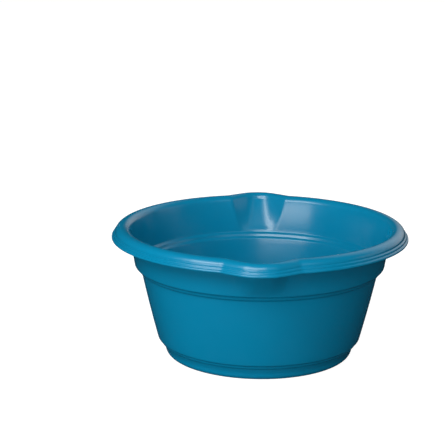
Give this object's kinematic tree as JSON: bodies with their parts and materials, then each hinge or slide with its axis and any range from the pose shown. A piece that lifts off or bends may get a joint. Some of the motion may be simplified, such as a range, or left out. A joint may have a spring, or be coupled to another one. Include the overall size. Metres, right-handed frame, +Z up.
{
  "type": "wash basin",
  "caption": "Round tapered plastic wash basin with a rolled rim, stepped ledges and two opposite pouring spouts.",
  "frame": {"origin": "on the table, under the middle of the base", "axes": "+Z up out of the mouth, +Y towards one pouring spout, -Y towards the other, +X to the right when looking along +Y"},
  "size_m": [0.38, 0.4096, 0.1685],
  "materials": {
    "polypropylene": "smooth moulded, semi-gloss"
  },
  "bodies": {
    "root": {"basin_shell": "polypropylene"}
  },
  "joints": []
}
